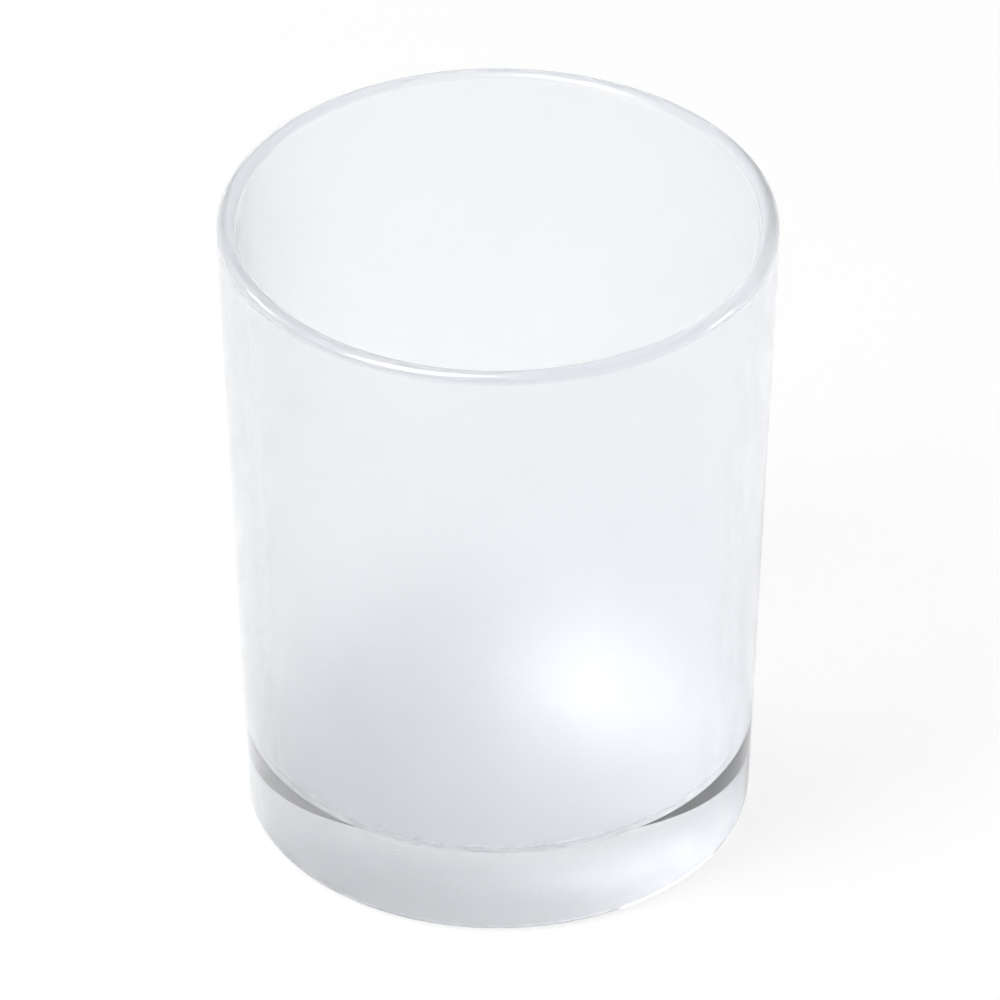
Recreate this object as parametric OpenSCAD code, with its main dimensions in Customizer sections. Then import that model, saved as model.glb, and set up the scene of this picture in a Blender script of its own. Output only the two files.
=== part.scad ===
// Bathroom tumbler: a heavy-based glass with a fire-polished rim, clear and
// polished outside, with a satin coat on the inside.
// The axis is Z, and the ring that it stands on lies in the plane z = 0.

/* [Outside] */
// Height from the surface that it stands on to the top of the rim
height = 87; // [60:0.5:140]
// Outside diameter at the mouth
mouth_d = 70; // [56:0.5:100]
// Outside diameter at the foot, where the wall's line reaches the ground
foot_d = 64.2; // [50:0.2:92]
// Radius of the heel, where the wall turns under the foot
heel_r = 1.4; // [0.6:0.1:2.5]

/* [Glass] */
// Thickness of the glass at the rim, which is melted to a full round
rim_t = 2.4; // [1.6:0.1:4]
// Thickness of the wall beside the cavity's floor, measured level
lower_wall_t = 3; // [1.6:0.1:5]
// Thickness of the solid base, from the ground to the cavity's floor
base_t = 10.7; // [5:0.1:25]
// Radius where the cavity's wall turns into its floor
corner_r = 2.5; // [1:0.5:12]

/* [Underside] */
// Width of the ring that it stands on
ring_w = 5; // [3:0.5:10]
// Depth of the shallow dish inside the ring
dish_depth = 0.4; // [0.2:0.1:2]

/* [Satin coat] */
// Thickness of the satin coat
coat_t = 0.1; // [0.05:0.05:0.4]
// Bare polished glass from the top of the rim down to the coat's edge, which lies on the round
bare_rim = 0.6; // [0.2:0.05:0.75]

/* [Hidden] */
$fn = 180;
// How far a cut runs past what it cuts
overrun = 1;

mouth_r = mouth_d / 2;
foot_r = foot_d / 2;
rim_r = rim_t / 2;

// Lean of the outer wall, from the foot to the middle of the rim's round
rim_z = height - rim_r;
outer_lean = atan2(mouth_r - foot_r, rim_z);

// Centres of the rim's and the heel's rounds, which touch the outer wall's line
rim = [mouth_r - rim_r / cos(outer_lean), rim_z];
heel = [foot_r + heel_r * (tan(outer_lean) - 1 / cos(outer_lean)), heel_r];

// Lean of the cavity's wall, which starts at the floor and touches the rim's round
floor_r = foot_r + base_t * tan(outer_lean) - lower_wall_t;
to_rim = rim - [floor_r, base_t];
inner_lean = atan2(to_rim.x, to_rim.y) - asin(rim_r / norm(to_rim));

// Centre of the cavity's corner, which touches its wall and its floor
corner = [floor_r + corner_r * (tan(inner_lean) - 1 / cos(inner_lean)), base_t + corner_r];

// How far the coat climbs the rim's round, as an angle above the level
climb = asin(1 - bare_rim / rim_r);

// Inner edge of the standing ring, and the sphere that hollows the dish inside it
dish_edge = heel.x - ring_w;
dish_r = (dish_edge * dish_edge + dish_depth * dish_depth) / (2 * dish_depth);

// Where a line with the given lean touches the outward side of a round
function touch(centre, r, lean) = centre + r * [cos(lean), -sin(lean)];

// Half of the glass, cut through the axis
module glass_section() {
    difference() {
        union() {
            difference() {
                polygon([
                    [0, 0],
                    [heel.x, 0],
                    heel,
                    touch(heel, heel_r, outer_lean),
                    touch(rim, rim_r, outer_lean),
                    rim,
                    touch(rim, -rim_r, inner_lean),
                    touch(corner, corner_r, inner_lean),
                    [corner.x, base_t],
                    [0, base_t]
                ]);
                translate(corner) circle(corner_r);
            }
            translate(heel) circle(heel_r);
            translate(rim) circle(rim_r);
        }
        // Only a few degrees of this wide circle are used, so it takes far more facets
        translate([0, dish_depth - dish_r]) circle(dish_r, $fn = 40 * $fn);
    }
}

// Half of a round-cornered well that fills the cavity, or keeps the given inset from its wall
module well_section(inset, top) {
    r = corner_r - inset;
    polygon(concat([
        [0, corner.y - r],
        [corner.x, corner.y - r],
        corner,
        touch(corner, r, inner_lean)
    ], top));
    translate(corner) circle(r);
}

// Half of the coat on the cavity's floor, corner and wall
module lining_section() {
    wall_top = touch(rim, -rim_r, inner_lean);
    coat_top = touch(rim, -rim_r - coat_t, inner_lean);
    past_top = overrun * [tan(inner_lean), 1];
    difference() {
        well_section(0, [wall_top, coat_top, [0, coat_top.y]]);
        well_section(coat_t, [coat_top + past_top, [0, coat_top.y + past_top.y]]);
    }
}

// Half of the coat's upper end, which lies on the inner side of the rim's round
module lip_section() {
    reach = rim_t + coat_t;
    intersection() {
        difference() {
            translate(rim) circle(rim_r + coat_t);
            translate(rim) circle(rim_r);
        }
        polygon([rim, touch(rim, -reach, inner_lean), touch(rim, -reach, climb)]);
    }
}

module glass_vessel() {
    color([0.90, 0.94, 0.95, 0.45])
    rotate_extrude() glass_section();
}

module satin_coat() {
    color([0.94, 0.96, 0.97])
    rotate_extrude() {
        lining_section();
        lip_section();
    }
}

glass_vessel();
satin_coat();
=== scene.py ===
import bpy
from math import radians, sin, cos, tan, atan2, asin, hypot, pi
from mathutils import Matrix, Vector


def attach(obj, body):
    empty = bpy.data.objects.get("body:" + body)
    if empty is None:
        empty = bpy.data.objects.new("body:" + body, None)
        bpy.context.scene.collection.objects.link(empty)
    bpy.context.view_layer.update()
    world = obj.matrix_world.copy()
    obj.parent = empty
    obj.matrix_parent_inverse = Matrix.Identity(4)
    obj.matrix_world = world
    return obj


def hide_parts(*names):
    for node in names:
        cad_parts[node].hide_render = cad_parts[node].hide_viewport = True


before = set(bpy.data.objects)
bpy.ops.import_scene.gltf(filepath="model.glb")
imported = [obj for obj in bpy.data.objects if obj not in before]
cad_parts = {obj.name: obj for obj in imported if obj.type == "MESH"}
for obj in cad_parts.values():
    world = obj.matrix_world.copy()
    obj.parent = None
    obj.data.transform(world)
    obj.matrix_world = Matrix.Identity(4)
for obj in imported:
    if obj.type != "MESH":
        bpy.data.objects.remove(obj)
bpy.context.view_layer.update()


# lengths are in metres and angles in degrees
# camera: a long lens far off, looking down at the front
view = {
    "distance": 1.40,
    "elevation": 35.2,
    "lookHeight": 0.0442,
    "lookAside": 0.00023,
    "lens": 399.0,
    "sensor": 36.0,
    "near": 0.1,
    "far": 20.0,
}


def makeCamera(v):
    up = radians(v["elevation"])
    target = Vector((v["lookAside"], 0, v["lookHeight"]))
    back = Vector((0, -cos(up), sin(up)))
    data = bpy.data.cameras.new("camera")
    data.lens, data.sensor_width = v["lens"], v["sensor"]
    data.clip_start, data.clip_end = v["near"], v["far"]
    camera = bpy.data.objects.new("camera", data)
    bpy.context.scene.collection.objects.link(camera)
    camera.location = target + back * v["distance"]
    camera.rotation_euler = (-back).to_track_quat("-Z", "Y").to_euler()
    bpy.context.scene.camera = camera


makeCamera(view)
print("camera made")


# edit mode helpers: a profile is drawn in the plane y = 0, then spun about Z
drawing = {
    "seedSize": 0.01,  # the plane that is merged into the first point
    "weldDistance": 0.000002,
    "sharpAngle": 40,
    "normalWeight": 100,
}


# a small plane merged into one point, from which the profile is drawn
def startProfile(name, x, z):
    bpy.ops.object.select_all(action="DESELECT")
    bpy.ops.mesh.primitive_plane_add(size=drawing["seedSize"], location=(0, 0, 0))
    bpy.context.object.name = name
    bpy.ops.object.mode_set(mode="EDIT")
    bpy.ops.mesh.select_all(action="SELECT")
    bpy.ops.mesh.merge(type="CENTER")
    bpy.ops.transform.translate(value=(x, 0, z))
    return [x, z]


# the open end goes straight to a point, in equal rows
def lineTo(tip, end, rows=1):
    step = ((end[0] - tip[0]) / rows, 0, (end[1] - tip[1]) / rows)
    for row in range(rows):
        bpy.ops.mesh.extrude_region_move(TRANSFORM_OT_translate={"value": step})
    tip[:] = end


# the open end goes round a centre, by an angle in radians
def arcTo(tip, centre, turn, steps):
    bpy.ops.mesh.spin(steps=steps, angle=turn, center=(centre[0], 0, centre[1]), axis=(0, 1, 0))
    dx, dz = tip[0] - centre[0], tip[1] - centre[1]
    tip[:] = (centre[0] + dx * cos(turn) - dz * sin(turn), centre[1] + dx * sin(turn) + dz * cos(turn))


def spinRound(sides):
    bpy.ops.mesh.select_all(action="SELECT")
    bpy.ops.mesh.spin(steps=sides, angle=2 * pi, center=(0, 0, 0), axis=(0, 0, 1))
    bpy.ops.mesh.select_all(action="SELECT")
    bpy.ops.mesh.remove_doubles(threshold=drawing["weldDistance"])
    bpy.ops.mesh.normals_make_consistent(inside=False)
    bpy.ops.object.mode_set(mode="OBJECT")
    bpy.ops.object.shade_smooth_by_angle(angle=radians(drawing["sharpAngle"]))
    piece = bpy.context.object
    weigh = piece.modifiers.new("weigh", "WEIGHTED_NORMAL")
    weigh.weight, weigh.keep_sharp = drawing["normalWeight"], True
    bpy.ops.object.modifier_apply(modifier="weigh")
    return piece


# where a line with the given lean touches the outward side of a round
def touch(centre, radius, lean):
    return centre[0] + radius * cos(lean), centre[1] - radius * sin(lean)


# the glass: its profile runs from the middle of the underside, round the rim, to the cavity's floor
glass = {
    "sides": 640,
    "height": 0.087,
    "mouthRadius": 0.035,
    "footRadius": 0.0321,
    "rimThick": 0.0024,
    "baseThick": 0.0107,
    "lowerWall": 0.003,
    "cornerRadius": 0.0025,
    "heelRadius": 0.0014,
    "ringWidth": 0.005,
    "dishDepth": 0.0004,
    "wallRows": 6,
    "floorRows": 8,
    "roundSteps": 16,
    "ringRows": 2,
}

# the satin coat lies on the cavity's wall, and ends part of the way up the rim's round
coat = {
    "thick": 0.0001,
    "bareRim": 0.0006,
    "lipSteps": 6,
}


# the rounds' centres, the two walls' leans and how far the coat climbs the rim
def measureSection(g, c):
    rimRadius = g["rimThick"] / 2
    rimHeight = g["height"] - rimRadius
    outerLean = atan2(g["mouthRadius"] - g["footRadius"], rimHeight)
    rim = (g["mouthRadius"] - rimRadius / cos(outerLean), rimHeight)
    heel = (g["footRadius"] + g["heelRadius"] * (tan(outerLean) - 1 / cos(outerLean)), g["heelRadius"])
    floorRadius = g["footRadius"] + g["baseThick"] * tan(outerLean) - g["lowerWall"]
    across, up = rim[0] - floorRadius, rim[1] - g["baseThick"]
    innerLean = atan2(across, up) - asin(rimRadius / hypot(across, up))
    corner = (floorRadius + g["cornerRadius"] * (tan(innerLean) - 1 / cos(innerLean)),
              g["baseThick"] + g["cornerRadius"])
    climb = asin(1 - c["bareRim"] / rimRadius)
    return rimRadius, outerLean, innerLean, rim, heel, corner, climb


rimRadius, outerLean, innerLean, rim, heel, corner, climb = measureSection(glass, coat)


def makeGlass(g):
    dishEdge = heel[0] - g["ringWidth"]
    dishRadius = (dishEdge ** 2 + g["dishDepth"] ** 2) / (2 * g["dishDepth"])
    steps, rows = g["roundSteps"], g["wallRows"]
    tip = startProfile("glassVessel", 0, g["dishDepth"])
    arcTo(tip, (0, g["dishDepth"] - dishRadius), -asin(dishEdge / dishRadius), g["floorRows"])
    lineTo(tip, (heel[0], 0), g["ringRows"])
    arcTo(tip, heel, pi / 2 - outerLean, steps)
    lineTo(tip, touch(rim, rimRadius, outerLean), rows)
    arcTo(tip, rim, pi - climb + outerLean, 2 * steps)
    arcTo(tip, rim, climb - innerLean, coat["lipSteps"])
    lineTo(tip, touch(corner, g["cornerRadius"], innerLean), rows)
    arcTo(tip, corner, innerLean - pi / 2, steps)
    lineTo(tip, (0, g["baseThick"]), g["floorRows"])
    return spinRound(g["sides"])


def makeCoat(c, g):
    steps, rows, lip = g["roundSteps"], g["wallRows"], c["lipSteps"]
    reach = rimRadius + c["thick"]
    tip = startProfile("satinCoat", 0, g["baseThick"])
    lineTo(tip, (corner[0], g["baseThick"]), g["floorRows"])
    arcTo(tip, corner, pi / 2 - innerLean, steps)
    lineTo(tip, touch(rim, -rimRadius, innerLean), rows)
    arcTo(tip, rim, innerLean - climb, lip)
    lineTo(tip, touch(rim, -reach, climb))
    arcTo(tip, rim, climb - innerLean, lip)
    lineTo(tip, touch(corner, g["cornerRadius"] - c["thick"], innerLean), rows)
    arcTo(tip, corner, innerLean - pi / 2, steps)
    lineTo(tip, (0, g["baseThick"] + c["thick"]), g["floorRows"])
    return spinRound(g["sides"])


vessel = makeGlass(glass)
print("glass modelled:", len(vessel.data.polygons), "faces")
satin = makeCoat(coat, glass)
print("coat modelled:", len(satin.data.polygons), "faces")


# the faces where glass and coat are bonded
bond = {
    "slack": 0.000001,  # how far off a face still counts as touching
    "level": 0.5,  # the normal's Z from which a face counts as level
}


def underCoat(face):
    out, z = hypot(face.center.x, face.center.y), face.center.z
    if z > rim[1]:
        return out < rim[0] and atan2(z - rim[1], rim[0] - out) < climb
    middle = rim[0] - (rim[1] - z) * tan((outerLean + innerLean) / 2)
    return out < middle and z > glass["baseThick"] - bond["slack"]


def onGlass(face):
    out, z = hypot(face.center.x, face.center.y), face.center.z
    n = face.normal
    outward = n.x * face.center.x + n.y * face.center.y > 0
    if z > rim[1]:
        return outward and hypot(out - rim[0], z - rim[1]) < rimRadius + bond["slack"]
    return outward and n.z < bond["level"] or n.z < -bond["level"]


# node helpers
def addNode(tree, kind, inputs=None, **options):
    node = tree.nodes.new(kind)
    for option, value in options.items():
        setattr(node, option, value)
    for name, value in (inputs or {}).items():
        if isinstance(value, bpy.types.NodeSocket):
            tree.links.new(value, node.inputs[name])
        else:
            node.inputs[name].default_value = value
    return node


def newGroup(name, numbers, outputs):
    tree = bpy.data.node_groups.new(name, "ShaderNodeTree")
    tree.interface.new_socket("Place", in_out="INPUT", socket_type="NodeSocketVector")
    for number in numbers:
        tree.interface.new_socket(number, in_out="INPUT", socket_type="NodeSocketFloat")
    for output in outputs:
        tree.interface.new_socket(output, in_out="OUTPUT", socket_type="NodeSocketFloat")
    return tree, tree.nodes.new("NodeGroupInput").outputs, tree.nodes.new("NodeGroupOutput").inputs


# soft uneven patches, from Low to High
mottleRange = {
    "low": 0.3,
    "high": 0.7,
}


def makeMottleGroup(r):
    tree, given, out = newGroup("mottle", ("Scale", "Detail", "Low", "High"), ("Value",))
    noise = addNode(tree, "ShaderNodeTexNoise", {
        "Vector": given["Place"], "Scale": given["Scale"], "Detail": given["Detail"]})
    spread = addNode(tree, "ShaderNodeMapRange", {
        "Value": noise.outputs["Fac"], "From Min": r["low"], "From Max": r["high"],
        "To Min": given["Low"], "To Max": given["High"]})
    tree.links.new(spread.outputs["Result"], out["Value"])
    return tree


# a few small round dots: Share of the cells have one, and Size is its part of the cell
def makeSpeckGroup():
    tree, given, out = newGroup("specks", ("Scale", "Share", "Size"), ("Mask",))
    cells = addNode(tree, "ShaderNodeTexVoronoi", {"Vector": given["Place"], "Scale": given["Scale"]})
    pick = addNode(tree, "ShaderNodeSeparateColor", {"Color": cells.outputs["Color"]})
    has = addNode(tree, "ShaderNodeMath", {
        0: pick.outputs["Red"], 1: given["Share"]}, operation="LESS_THAN")
    dot = addNode(tree, "ShaderNodeMapRange", {
        "Value": cells.outputs["Distance"], "From Min": 0.0, "From Max": given["Size"],
        "To Min": 1.0, "To Max": 0.0}, interpolation_type="SMOOTHSTEP")
    mask = addNode(tree, "ShaderNodeMath", {
        0: dot.outputs["Result"], 1: has.outputs[0]}, operation="MULTIPLY")
    tree.links.new(mask.outputs[0], out["Mask"])
    return tree


mottle = makeMottleGroup(mottleRange)
specks = makeSpeckGroup()
print("shared effects made: mottle and specks")


def place(tree, group, vector, **values):
    return addNode(tree, "ShaderNodeGroup", {"Place": vector, **values}, node_tree=group).outputs[0]


# materials
def newMaterial(name):
    material = bpy.data.materials.new(name)
    material.use_nodes = True
    return material, material.node_tree, material.node_tree.nodes["Principled BSDF"]


def fade(tree, value, start, end, low=0.0, high=1.0):
    return addNode(tree, "ShaderNodeMapRange", {
        "Value": value, "From Min": start, "From Max": end, "To Min": low, "To Max": high},
        interpolation_type="SMOOTHSTEP").outputs["Result"]


# on a Mix node, a colour goes in at 6 and 7 and comes out at 2
def blend(tree, amount, low, high, **options):
    return addNode(tree, "ShaderNodeMix", {
        "Factor": amount, 6: low, 7: high}, data_type="RGBA", **options).outputs[2]


def times(tree, one, two, plus=0.0):
    return addNode(tree, "ShaderNodeMath", {0: one, 1: two, 2: plus}, operation="MULTIPLY_ADD").outputs[0]


# polished glass: deeper in the thick base, satin under a clear skin at the rim with a grey tint there that is
# painted shade, rubbed under the foot
clearGlassLook = {
    "tint": (0.978, 0.988, 1.0, 1),
    "baseTint": (0.84, 0.86, 0.885, 1),
    # painted shade: the rim's grey, standing in for the dim room seen through the rim
    "lipPaintedShade": (0.83, 0.85, 0.875, 1),
    "scuffTint": (0.80, 0.82, 0.84, 1),
    "ior": 1.52,
    "smudgeScale": 45.0,
    "smudgeDetail": 3.0,
    "smudgeRough": 0.012,
    "baseStart": 0.0125,
    "baseFull": 0.0095,
    "lipStart": -0.15,
    "lipFull": 0.45,
    "lipRough": 0.38,
    "shineStart": -0.6,
    "shineFull": 0.2,
    "innerShine": 0.3,
    "scuffHeight": 0.00006,
    "scuffScale": 900.0,
    "scuffDetail": 4.0,
    "scuffLeast": 0.2,
    "scuffRough": 0.20,
    "scuffDepth": 0.000004,
}


def makeClearGlass(k):
    material, tree, shader = newMaterial("clearGlass")
    spot = addNode(tree, "ShaderNodeTexCoord").outputs["Object"]
    height = addNode(tree, "ShaderNodeSeparateXYZ", {0: spot}).outputs["Z"]
    level = addNode(tree, "ShaderNodeVectorMath", {0: spot, 1: (1, 1, 0)}, operation="MULTIPLY").outputs[0]
    out = addNode(tree, "ShaderNodeVectorMath", {0: level}, operation="LENGTH").outputs["Value"]
    base = fade(tree, height, k["baseFull"], k["baseStart"], 1.0, 0.0)
    lip = fade(tree, height, rim[1] + k["lipStart"] * rimRadius, rim[1] + k["lipFull"] * rimRadius)
    shine = fade(tree, out, rim[0] + k["shineStart"] * rimRadius, rim[0] + k["shineFull"] * rimRadius,
                 k["innerShine"], 1.0)
    low = fade(tree, height, 0.0, k["scuffHeight"], 1.0, 0.0)
    rub = place(tree, mottle, spot, Scale=k["scuffScale"], Detail=k["scuffDetail"],
                Low=k["scuffLeast"], High=1.0)
    scuff = times(tree, low, rub)
    smudge = place(tree, mottle, spot, Scale=k["smudgeScale"], Detail=k["smudgeDetail"],
                   Low=0.0, High=k["smudgeRough"])
    rough = times(tree, scuff, k["scuffRough"], times(tree, lip, k["lipRough"], smudge))
    # the rim is tinted grey as painted shade of the dim room; the thick base and the rubbed foot keep their
    # own tints
    tint = blend(tree, lip, blend(tree, base, k["tint"], k["baseTint"]), k["lipPaintedShade"])
    tint = blend(tree, scuff, tint, k["scuffTint"])
    bump = addNode(tree, "ShaderNodeBump", {"Height": scuff, "Distance": k["scuffDepth"], "Strength": 1.0})
    tree.links.new(tint, shader.inputs["Base Color"])
    tree.links.new(times(tree, lip, shine), shader.inputs["Coat Weight"])
    tree.links.new(rough, shader.inputs["Roughness"])
    tree.links.new(bump.outputs["Normal"], shader.inputs["Normal"])
    shader.inputs["IOR"].default_value = k["ior"]
    shader.inputs["Transmission Weight"].default_value = 1.0
    return material


# satin: fine grain, faint clouds, a few specks, and a coarser layer on the cavity's floor
satinLook = {
    "light": (0.938, 0.945, 0.962, 1),
    "dim": (0.908, 0.915, 0.934, 1),
    "ior": 1.52,
    "grainScale": 4500.0,
    "grainDetail": 2.0,
    "grainDepth": 0.000004,
    "grainDust": 0.5,
    "cloudScale": 110.0,
    "cloudDetail": 4.0,
    "cloudDust": 0.35,
    "speckScale": 260.0,
    "speckShare": 0.03,
    "speckSize": 0.09,
    "speckDust": 2.0,
    "wallRough": 0.50,
    "floorRough": 0.70,
    "floorRise": 0.0004,
    "roughSpread": 0.03,
}


def makeSatin(k):
    material, tree, shader = newMaterial("satinCoat")
    spot = addNode(tree, "ShaderNodeTexCoord").outputs["Object"]
    height = addNode(tree, "ShaderNodeSeparateXYZ", {0: spot}).outputs["Z"]
    grain = place(tree, mottle, spot, Scale=k["grainScale"], Detail=k["grainDetail"], Low=0.0, High=1.0)
    cloud = place(tree, mottle, spot, Scale=k["cloudScale"], Detail=k["cloudDetail"], Low=0.0, High=1.0)
    speck = place(tree, specks, spot, Scale=k["speckScale"], Share=k["speckShare"], Size=k["speckSize"])
    dust = times(tree, cloud, k["cloudDust"], times(tree, speck, k["speckDust"]))
    dust = times(tree, grain, k["grainDust"], dust)
    colour = blend(tree, dust, k["light"], k["dim"], clamp_factor=False)
    base = fade(tree, height, glass["baseThick"] + k["floorRise"], corner[1], k["floorRough"], k["wallRough"])
    rough = times(tree, cloud, k["roughSpread"], base)
    bump = addNode(tree, "ShaderNodeBump", {"Height": grain, "Distance": k["grainDepth"], "Strength": 1.0})
    tree.links.new(colour, shader.inputs["Base Color"])
    tree.links.new(rough, shader.inputs["Roughness"])
    tree.links.new(bump.outputs["Normal"], shader.inputs["Normal"])
    shader.inputs["IOR"].default_value = k["ior"]
    shader.inputs["Transmission Weight"].default_value = 1.0
    return material


# nothing is seen where coat and glass are bonded, because no air lies between them
def makeBond():
    material, tree, shader = newMaterial("bondedFace")
    shader.inputs["Alpha"].default_value = 0.0
    return material


clearGlass = makeClearGlass(clearGlassLook)
satinFinish = makeSatin(satinLook)
bonded = makeBond()

for piece, finish, bondedTest in ((vessel, clearGlass, underCoat), (satin, satinFinish, onGlass)):
    piece.data.materials.append(finish)
    piece.data.materials.append(bonded)
    for face in piece.data.polygons:
        face.material_index = 1 if bondedTest(face) else 0
    print(piece.name, "bonded faces", sum(f.material_index for f in piece.data.polygons))
print("materials made")

for piece, node, slotName in (
        (vessel, "glass_vessel", "clear_glass"),
        (satin, "satin_coat", "satin_coat")):
    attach(piece, "root")
    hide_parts(node)

# studio: a floor of white paper, a low white horizon that is dimmer on the right, a dim room above
studio = {
    "aimHeight": 0.04,
    "floorDrop": 0.0002,
    "floorSize": 8.0,
    "floorWhite": 0.90,
    "cameraGlow": 0.85,
    "glassGlow": 0.25,
    "roomDim": 0.07,
    "horizonLow": 0.12,
    "horizonHigh": 0.36,
    "horizonLeft": -0.1,
    "horizonRight": 0.4,
    "rightLevel": 0.5,
}

# a tall soft lamp with a brighter core at the front left, a low one at the back left, two dim ones
# behind, and two small ones that light nothing and show only as reflections on the rim; azimuth 0 is
# the front, and 90 the right
lamps = {
    "key": {
        "azimuth": 305, "elevation": 61, "wide": 0.38, "high": 1.04, "radiance": 8.15,
        "mirrored": True, "lights": True},
    "core": {
        "azimuth": 313, "elevation": 60, "wide": 0.30, "high": 0.34, "radiance": 7.2,
        "mirrored": True, "lights": True},
    "low": {
        "azimuth": 215, "elevation": 18, "wide": 0.45, "high": 0.30, "radiance": 3.8,
        "mirrored": False, "lights": True},
    "back": {
        "azimuth": 168, "elevation": 50, "wide": 0.50, "high": 0.50, "radiance": 0.8,
        "mirrored": True, "lights": True},
    "card": {
        "azimuth": 128, "elevation": 38, "wide": 1.30, "high": 0.34, "radiance": 0.21,
        "mirrored": True, "lights": True},
    "leftGlint": {
        "azimuth": 246, "elevation": 35, "wide": 0.25, "high": 0.15, "radiance": 12.0,
        "mirrored": True, "lights": False},
    "rightGlint": {
        "azimuth": 92, "elevation": 13, "wide": 0.24, "high": 0.15, "radiance": 12.0,
        "mirrored": True, "lights": False},
}


def makeFloor(s):
    bpy.ops.object.select_all(action="DESELECT")
    bpy.ops.mesh.primitive_plane_add(size=s["floorSize"], location=(0, 0, -s["floorDrop"]))
    floor = bpy.context.object
    floor.name = "floor"
    material, tree, shader = newMaterial("floorPaper")
    shader.inputs["Base Color"].default_value = (s["floorWhite"],) * 3 + (1,)
    shader.inputs["Roughness"].default_value = 1.0
    shader.inputs["Specular IOR Level"].default_value = 0.0
    path = addNode(tree, "ShaderNodeLightPath").outputs
    inGlass = addNode(tree, "ShaderNodeMath", {
        0: path["Is Glossy Ray"], 1: path["Is Transmission Ray"]}, operation="MAXIMUM").outputs[0]
    share = times(tree, path["Is Camera Ray"], s["cameraGlow"], times(tree, inGlass, s["glassGlow"]))
    glow = addNode(tree, "ShaderNodeEmission").outputs[0]
    paper = addNode(tree, "ShaderNodeMixShader", {0: share, 1: shader.outputs[0], 2: glow}).outputs[0]
    below = addNode(tree, "ShaderNodeNewGeometry").outputs["Backfacing"]
    clear = addNode(tree, "ShaderNodeBsdfTransparent").outputs[0]
    both = addNode(tree, "ShaderNodeMixShader", {0: below, 1: paper, 2: clear}).outputs[0]
    tree.links.new(both, tree.nodes["Material Output"].inputs["Surface"])
    floor.data.materials.append(material)


# glass sees the horizon too, and the camera sees plain white
def makeRoom(s):
    world = bpy.data.worlds.new("studio")
    bpy.context.scene.world = world
    world.use_nodes = True
    tree = world.node_tree
    way = addNode(tree, "ShaderNodeSeparateXYZ", {
        0: addNode(tree, "ShaderNodeTexCoord").outputs["Generated"]}).outputs
    level = fade(tree, way["X"], s["horizonLeft"], s["horizonRight"], 1.0, s["rightLevel"])
    level = fade(tree, way["Z"], s["horizonLow"], s["horizonHigh"], level, s["roomDim"])
    camera = addNode(tree, "ShaderNodeLightPath").outputs["Is Camera Ray"]
    level = addNode(tree, "ShaderNodeMath", {0: level, 1: camera}, operation="MAXIMUM").outputs[0]
    background = tree.nodes["Background"]
    background.inputs["Color"].default_value = (1, 1, 1, 1)
    tree.links.new(level, background.inputs["Strength"])


# every lamp is a metre away and faces the middle of the tumbler
def makeLamp(name, v):
    data = bpy.data.lights.new(name, "AREA")
    data.shape, data.size, data.size_y = "RECTANGLE", v["wide"], v["high"]
    data.energy = v["radiance"] * pi * v["wide"] * v["high"]
    lamp = bpy.data.objects.new(name, data)
    bpy.context.scene.collection.objects.link(lamp)
    aside, up = radians(v["azimuth"]), radians(v["elevation"])
    way = Vector((cos(up) * sin(aside), -cos(up) * cos(aside), sin(up)))
    lamp.location = Vector((0, 0, studio["aimHeight"])) + way
    lamp.rotation_euler = way.to_track_quat("Z", "Y").to_euler()
    lamp.visible_camera = False
    lamp.visible_glossy = v["mirrored"]
    lamp.visible_diffuse = lamp.visible_transmission = v["lights"]


makeFloor(studio)
makeRoom(studio)
for name, values in lamps.items():
    makeLamp(name, values)
bpy.context.scene.view_settings.view_transform = "Standard"

# light crosses many faces in the thick base, so its paths are long and nothing blurs them
paths = {
    "bounces": 40,
    "seeThrough": 256,
    "blur": 0.0,
}
cycles = bpy.context.scene.cycles
cycles.max_bounces = cycles.transmission_bounces = cycles.glossy_bounces = paths["bounces"]
cycles.transparent_max_bounces = paths["seeThrough"]
cycles.blur_glossy = paths["blur"]
print("studio made")
